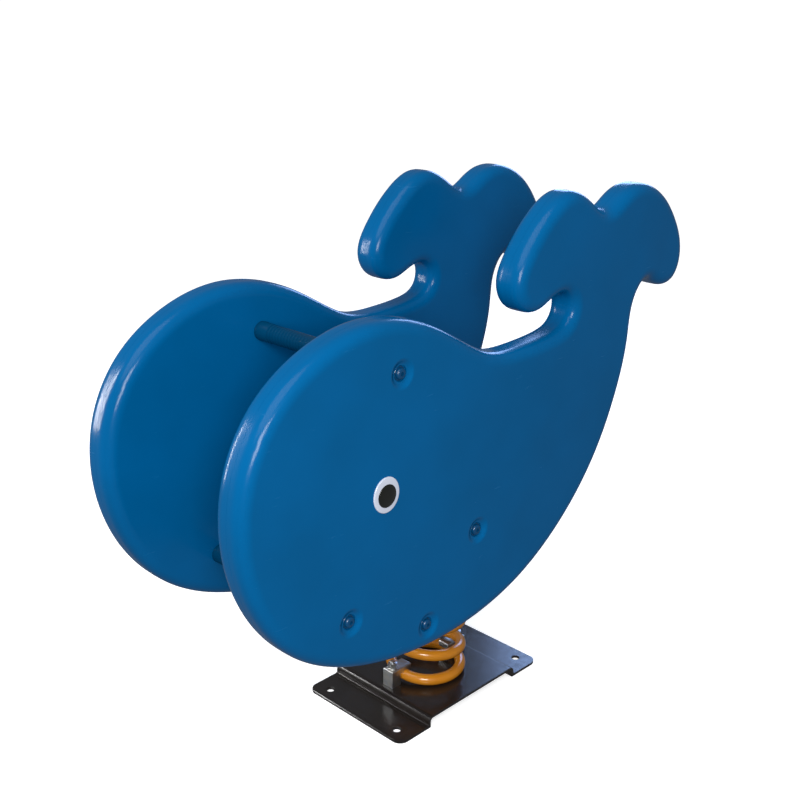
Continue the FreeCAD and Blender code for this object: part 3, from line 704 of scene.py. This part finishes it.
def panel_bolt():
    """M10 button head with a hexagonal socket, its head resting on height 0."""
    reach = HEAD_SEAT + WASHER_THICKNESS - INNER_FACE + PANEL_BOLT_REACH
    ease = 0.4 * MM
    dome = [(BUTTON_RADIUS, ease), (BUTTON_RADIUS, BUTTON_HEIGHT - BUTTON_DOME)]
    dome += arc(BUTTON_RADIUS - BUTTON_DOME, BUTTON_HEIGHT - BUTTON_DOME, BUTTON_DOME, 0, 90, 8)
    profile = [(0, BUTTON_HEIGHT)] + dome[::-1] + [(BUTTON_RADIUS - ease, 0), (BOLT_RADIUS, 0)]
    profile += threaded(BOLT_RADIUS, -reach, -reach + 30 * MM)
    bolt = lathe(profile)
    deselect()
    bpy.ops.mesh.primitive_cylinder_add(vertices=6, radius=SOCKET_CORNERS, depth=8 * MM,
                                        location=(0, 0, BUTTON_HEIGHT + 1 * MM))
    cut_by(bolt, bpy.context.active_object)
    return bolt


def flat_washer(inner, outer, thickness):
    """Stamped washer: rounded on the side it was punched from."""
    ease = 0.35 * thickness
    return lathe([(inner, ease), (inner + ease, thickness), (outer - ease, thickness),
                  (outer, thickness - ease), (outer, ease / 3), (outer - ease / 3, 0),
                  (inner + ease / 3, 0)])


def on_panel_bolts(y):
    """A placing on the axis of each of the left panel's bolts, at the same y on all of them."""
    return [Matrix.Translation((x, y, z)) @ ALONG_Y for x, z in PANEL_BOLTS]


panel_washer = flat_washer(PANEL_WASHER_BORE, PANEL_WASHER_RADIUS, WASHER_THICKNESS)
for part, made, seat_y in (("panel_bolts", panel_bolt(), HEAD_SEAT + WASHER_THICKNESS),
                           ("panel_washers", panel_washer, HEAD_SEAT)):
    left_set = placed_copies(made, on_panel_bolts(seat_y))
    right_set = mirrored_copy(left_set)
    for side, one_set in (("left", left_set), ("right", right_set)):
        finish_piece(one_set, side + "_" + part + "_turned", "rider", BOLT_PAINT,
                     [side + "_" + part])


# ---------------------------------------------------------------- base plate

def base_plate_section():
    """Side view of the bent plate as one closed line, front half first: along the top, then underneath."""
    low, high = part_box("base_plate")
    thick, half, web, eased = PLATE_THICKNESS, high.x, PLATE_RAISED_HALF, 1.2 * MM
    front = arc(web - BEND_RADIUS, high.z - BEND_RADIUS, BEND_RADIUS, 90, 0, 8)
    front += arc(web + CREASE_RADIUS, thick + CREASE_RADIUS, CREASE_RADIUS, 180, 270, 5)
    front += [(half - eased, thick), (half, thick - eased), (half, eased / 4), (half - eased / 4, 0)]
    front += arc(web - thick + UNDER_CREASE_RADIUS, UNDER_CREASE_RADIUS, UNDER_CREASE_RADIUS, 270, 180, 3)
    front += arc(web - BEND_RADIUS, high.z - BEND_RADIUS, BEND_RADIUS - thick, 0, 90, 6)
    return front + [(-x, z) for x, z in reversed(front)]


def base_plate():
    low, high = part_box("base_plate")
    plate = extruded_along_y(base_plate_section(), low.y, high.y)
    for side_x in (-1, 1):
        for side_y in (-1, 1):
            cut_by(plate, corner_cutter(side_x, side_y, high))
            anchor_x, anchor_y = side_x * ANCHOR_AT[0], side_y * ANCHOR_AT[1]
            cut_by(plate, hole_cutter(anchor_x, anchor_y, ANCHOR_HOLE_RADIUS, PLATE_THICKNESS))
        cut_by(plate, hole_cutter(side_x * CLAMP_BOLT_AT, 0, WASHER_BORE, high.z))
    apply_modifier(plate, "BEVEL", width=0.7 * MM, segments=2, limit_method="ANGLE",
                   angle_limit=math.radians(50), use_clamp_overlap=True)
    return plate


def hole_cutter(x, y, radius, face_z):
    """Cuts a hole down from face_z, with its upper edge broken as a drill leaves it."""
    ease = 0.8 * MM
    depth = 30 * MM
    profile = [(0, -depth), (radius, -depth), (radius, -ease), (radius + 2 * ease, ease), (0, ease)]
    cutter = lathe(profile, 40)
    cutter.data.transform(Matrix.Translation((x, y, face_z)))
    return cutter


def corner_cutter(side_x, side_y, high):
    """Takes the sharp corner off a flange, leaving a round."""
    radius, below, tall = PLATE_CORNER_RADIUS, -5 * MM, 15 * MM
    outline = [(radius, -radius), (radius, radius), (-radius, radius)]
    outline += arc(-radius, -radius, radius, 90, 0, 14)
    corners = [(side_x * (high.x + x), side_y * (high.y + y), below) for x, y in outline]
    return extruded(corners, (0, 0, tall))


plate = finish_piece(base_plate(), "bent_base_plate", "base", PLATE_PAINT, ["base_plate"],
                     angle=30)
apply_modifier(plate, "WEIGHTED_NORMAL", keep_sharp=True)


# ---------------------------------------------------------------- bars

def bar_sleeve(node):
    """Plastic sleeve: two collars at its ends and a long grip with shallow rings between them."""
    low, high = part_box(node)
    centre, radius, end = (low + high) / 2, (high.z - low.z) / 2, high.y
    rounding, grip, groove = SLEEVE_ROUNDING, radius - 0.5 * MM, radius - 0.9 * MM
    collar, ringed = end - 9 * MM, end - 30 * MM
    outline = arc(radius - rounding, end - rounding, rounding, 90, 0, 5)
    outline += [(radius, collar), (grip, collar - 1 * MM)]
    for i in range(GRIP_RINGS + 1):
        at = ringed * (1 - 2 * i / GRIP_RINGS)
        outline += [(grip, at + 1.4 * MM), (groove, at + 0.6 * MM),
                    (groove, at - 0.6 * MM), (grip, at - 1.4 * MM)]
    outline += [(grip, 1 * MM - collar), (radius, -collar)]
    outline += arc(radius - rounding, rounding - end, rounding, 0, -90, 5)
    sleeve = lathe(outline + [(SLEEVE_BORE, -end), (SLEEVE_BORE, end)], 56)
    sleeve.data.transform(Matrix.Translation((centre.x, 0, centre.z)) @ ALONG_Y)
    return sleeve


for bar in ("handlebar", "footrest"):
    finish_piece(bar_sleeve(bar + "_sleeve"), bar + "_grip", "rider", BAR_PLASTIC,
                 [bar + "_sleeve"])


# ---------------------------------------------------------------- seat

def rounded_outline(corners, steps):
    """Straight runs joined by tangent arcs, from corner points (x, z, radius) in millimetres."""
    outline = []
    for i, (x, z, radius) in enumerate(corners):
        corner = Vector((x, z)) * MM
        before = (Vector(corners[i - 1][:2]) * MM - corner).normalized()
        after = (Vector(corners[(i + 1) % len(corners)][:2]) * MM - corner).normalized()
        half = before.angle(after) / 2
        reach = radius * MM / math.tan(half)
        centre = corner + (before + after).normalized() * (radius * MM / math.sin(half))
        start, end = corner + before * reach - centre, corner + after * reach - centre
        sweep = math.atan2(start.x * end.y - start.y * end.x, start.dot(end))
        for step in range(steps + 1):
            point = centre + Matrix.Rotation(sweep * step / steps, 2) @ start
            outline.append((point.x, point.y))
    return outline


def seat():
    low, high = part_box("seat")
    shell = extruded_along_y(rounded_outline(SEAT_CORNERS, 12), low.y, high.y)
    mesh = edit(shell)
    pick(mesh, mesh.edges, runs_across)
    bpy.ops.mesh.bevel(offset=SEAT_EDGE_ROUNDING, segments=7, profile=0.5, affect="EDGES",
                       clamp_overlap=False)
    leave_edit()
    return shell


seat_shell = finish_piece(seat(), "seat_shell", "rider", SEAT_PLASTIC, ["seat"],
                          angle=40)
apply_modifier(seat_shell, "WEIGHTED_NORMAL", keep_sharp=True)


# ---------------------------------------------------------------- frame welds

def weld_bead(length):
    """Rippled bead standing on height 0, its ends rounded off."""
    points = 4 * max(3, round(length / (3 * MM))) + 1
    profile = [(0, 0)]
    for i in range(points):
        taper = min(1.0, 0.4 + min(i, points - 1 - i) / 4)
        ripple = 1 + 0.1 * math.cos(math.pi * i / 2)
        profile.append((WELD_RADIUS * taper * ripple, length * (i + 0.5) / points))
    return lathe(profile + [(0, length)], 12)


def weld_places():
    """Along the ends of both cross tubes, and round both ends of the four seat posts."""
    low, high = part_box("frame_cross_tubes")
    seat_plate_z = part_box("seat_plate")[0].z
    slim = Matrix.Diagonal((1, 1, 0.75, 1))
    places = []
    for tube_x in (-CROSS_TUBE_X, CROSS_TUBE_X):
        for end_y in (-high.y, high.y):
            places.append(Matrix.Translation((tube_x - WELD_LENGTH / 2, end_y, high.z)) @ ALONG_X)
            for side in (-CROSS_TUBE_HALF, CROSS_TUBE_HALF):
                places.append(Matrix.Translation((tube_x + side, end_y, low.z + 4 * MM)))
        for post_y in (-POST_Y, POST_Y):
            for height in (high.z, seat_plate_z):
                for side in (-POST_HALF, POST_HALF):
                    start_x, start_y = tube_x - 12 * MM, post_y - 12 * MM
                    places.append(Matrix.Translation((start_x, post_y + side, height)) @ ALONG_X @ slim)
                    places.append(Matrix.Translation((tube_x + side, start_y, height)) @ ALONG_Y @ slim)
    return places


finish_piece(placed_copies(weld_bead(WELD_LENGTH), weld_places()), "frame_weld_beads", "rider", FRAME_PAINT,
             angle=60)


# ---------------------------------------------------------------- nuts and hexagonal bolts

def hexagon_profile(corners):
    """Radius of the flats, the turned radius just past the corners, and the drop of the chamfer."""
    flat = corners * math.cos(math.pi / 6)
    return flat, corners + 0.1 * MM, 0.35 * (corners - flat) + 0.3 * MM


def hex_nut():
    """M10 nut on height 0, both faces chamfered."""
    flat, turned, drop = hexagon_profile(NUT_CORNERS)
    lead = 0.8 * MM
    blank = lathe([(NUT_BORE, lead), (NUT_BORE + lead, 0), (flat, 0), (turned, drop),
                   (turned, NUT_HEIGHT - drop), (flat, NUT_HEIGHT), (NUT_BORE + lead, NUT_HEIGHT),
                   (NUT_BORE, NUT_HEIGHT - lead)])
    return hexagonal(blank, NUT_CORNERS, 0, NUT_HEIGHT)


def hex_bolt(corners, head_height, radius, reach, thread):
    """Bolt with the underside of its head on height 0 and its shank reaching down."""
    flat, turned, drop = hexagon_profile(corners)
    head = lathe([(0, head_height), (flat, head_height), (turned, head_height - drop), (turned, 0), (0, 0)])
    hexagonal(head, corners, 0, head_height)
    inside = 0.5 * MM
    shank = lathe([(0, inside), (radius, inside)] + threaded(radius, -reach, -reach + thread))
    return joined([head, shank])


def standing(x, y, z, flipped=False):
    return Matrix.Translation((x, y, z)) @ (UPSIDE_DOWN if flipped else Matrix.Identity(4))


def fasteners(node, made, placings, body, material=ZINC_STEEL):
    finish_piece(placed_copies(made, placings), node + "_threaded", body, material, [node])


def nuts_on(node, body):
    fasteners(node, hex_nut(), [standing(mid.x, mid.y, low.z) for mid, low, high in stations(node)], body)


def washers_on(node, body, flipped=False, bore=WASHER_BORE, radius=WASHER_RADIUS):
    """Washers with their rounded side up, or down where flipped."""
    places = [standing(mid.x, mid.y, high.z if flipped else low.z, flipped)
              for mid, low, high in stations(node)]
    fasteners(node, flat_washer(bore, radius, WASHER_THICKNESS), places, body)


def hex_bolts_on(node, body, head_down, thread, corners=NUT_CORNERS, head_height=HEAD_HEIGHT,
                 radius=BOLT_RADIUS):
    """Bolts that fill the height of the CAD ones, with their heads at the bottom or the top."""
    bolts = []
    for mid, low, high in stations(node):
        bolt = hex_bolt(corners, head_height, radius, high.z - low.z - head_height, thread)
        head_face = low.z + head_height if head_down else high.z - head_height
        bolt.data.transform(standing(mid.x, mid.y, head_face, head_down))
        bolts.append(bolt)
    finish_piece(joined(bolts), node + "_threaded", body, ZINC_STEEL, [node])


for where, body in (("lower", "base"), ("upper", "rider")):
    nuts_on(where + "_clamp_nuts", body)
    washers_on(where + "_clamp_washers", body, flipped=where == "upper")
    hex_bolts_on(where + "_clamp_bolts", body, head_down=where == "lower", thread=16 * MM)

hex_bolts_on("frame_bolts", "rider", head_down=False, thread=18 * MM)
nuts_on("frame_nuts", "rider")
washers_on("frame_washers", "rider")
hex_bolts_on("seat_bolts", "rider", True, 18 * MM, SEAT_HEAD_CORNERS, SEAT_HEAD_HEIGHT, SEAT_BOLT_RADIUS)
washers_on("seat_washers", "rider", True, SEAT_WASHER_BORE, SEAT_WASHER_RADIUS)
for side in ("left", "right"):
    plate_nuts = side + "_frame_plate_nuts"
    places = [Matrix.Translation((mid.x, low.y, mid.z)) @ ALONG_Y for mid, low, high in stations(plate_nuts)]
    fasteners(plate_nuts, hex_nut(), places, "rider", FRAME_PAINT)


# ---------------------------------------------------------------- steel parts kept from the frame

def soften_edges(node):
    """Breaks the sharp edges of a steel part, as powder coat or plating does."""
    piece = cad_nodes[node]
    weld = piece.modifiers.new("weld", "WELD")
    weld.merge_threshold = 0.005 * MM
    rounding = piece.modifiers.new("rounding", "BEVEL")
    rounding.width = 0.8 * MM
    rounding.segments = 2
    rounding.limit_method = "ANGLE"
    rounding.angle_limit = math.radians(40)
    piece.modifiers.new("shading", "WEIGHTED_NORMAL")


for cad in cad_nodes.values():
    cad.data.polygons.foreach_set("use_smooth", [True] * len(cad.data.polygons))
for node_name in ("lower_coil_clamps", "upper_coil_clamps", "spring_head_plate", "frame_cross_tubes",
                  "left_frame_plate", "right_frame_plate", "seat_plate", "seat_posts"):
    soften_edges(node_name)


# ---------------------------------------------------------------- floor, light and camera

def area_light(name, place, target, size, power, colour="#FFFFFF"):
    light = bpy.data.lights.new(name, "AREA")
    light.shape = "RECTANGLE"
    light.size, light.size_y = size
    light.energy = power
    light.color = linear(colour)[:3]
    lamp = bpy.data.objects.new(name, light)
    lamp.visible_camera = False
    lamp.location = place
    lamp.rotation_euler = (Vector(target) - Vector(place)).to_track_quat("-Z", "Y").to_euler()
    bpy.context.scene.collection.objects.link(lamp)


def studio_floor():
    deselect()
    bpy.ops.mesh.primitive_plane_add(size=900)
    floor = bpy.context.active_object
    floor.name = "studio_floor"
    floor.visible_diffuse = False
    floor.visible_glossy = False
    paper, tree, shader, place = start_material("studio_paper", Roughness=0.95, Specular_IOR_Level=0.1)
    white = clouded_colour(tree, place, 400 * MM, 2, "#F7F7F7", "#F5F5F5")
    tree.links.new(white, shader.inputs["Base Color"])
    shader.inputs["Emission Color"].default_value = linear("#FFFFFF")
    shader.inputs["Emission Strength"].default_value = 0.5
    floor.data.materials.append(paper)


def surroundings():
    """Pale, dim light from all round, with a plain white wall wherever the camera looks past the floor."""
    world = bpy.data.worlds.new("studio")
    bpy.context.scene.world = world
    world.use_nodes = True
    sky = world.node_tree
    sky.nodes["Background"].inputs["Color"].default_value = linear("#EEF3FA")
    sky.nodes["Background"].inputs["Strength"].default_value = 0.22
    white_wall = add_node(sky, "ShaderNodeBackground", {"Color": linear("#FFFFFF"), "Strength": 1.0})
    seen = add_node(sky, "ShaderNodeLightPath", output="Is Camera Ray")
    shown = add_node(sky, "ShaderNodeMixShader",
                     {0: seen, 1: sky.nodes["Background"].outputs[0], 2: white_wall})
    sky.links.new(shown, sky.nodes["World Output"].inputs["Surface"])


def lights():
    sun = bpy.data.lights.new("overhead_sun", "SUN")
    sun.energy, sun.angle = 1.5, math.radians(50)
    lamp = bpy.data.objects.new("overhead_sun", sun)
    lamp.rotation_euler = Vector((-0.55, -0.1, -1.0)).to_track_quat("-Z", "Y").to_euler()
    bpy.context.scene.collection.objects.link(lamp)
    middle = (0.05, 0, 0.5)
    area_light("key", (1.9, 1.9, 1.6), middle, (0.9, 1.1), 75)
    area_light("rim", (1.75, -2.05, 1.1), (0.45, 0.15, 0.6), (0.12, 1.4), 32)
    area_light("back", (-2.7, -1.25, 1.6), middle, (1.2, 1.0), 30, "#9CBEFA")


def camera():
    eye = bpy.data.cameras.new("camera")
    eye.lens = 51.39
    eye.sensor_width = 36.0
    view = bpy.data.objects.new("camera", eye)
    view.location = (1.3441, 1.2725, 1.2036)
    azimuth, tilt = math.radians(45.107), math.radians(19.49)
    level = Vector((-math.sin(azimuth), -math.cos(azimuth), 0))
    forward = level * math.cos(tilt) - Vector((0, 0, math.sin(tilt)))
    view.rotation_euler = forward.to_track_quat("-Z", "Y").to_euler()
    bpy.context.scene.collection.objects.link(view)
    bpy.context.scene.camera = view


studio_floor()
surroundings()
lights()
camera()
bpy.context.scene.view_settings.view_transform = "Standard"

deselect()
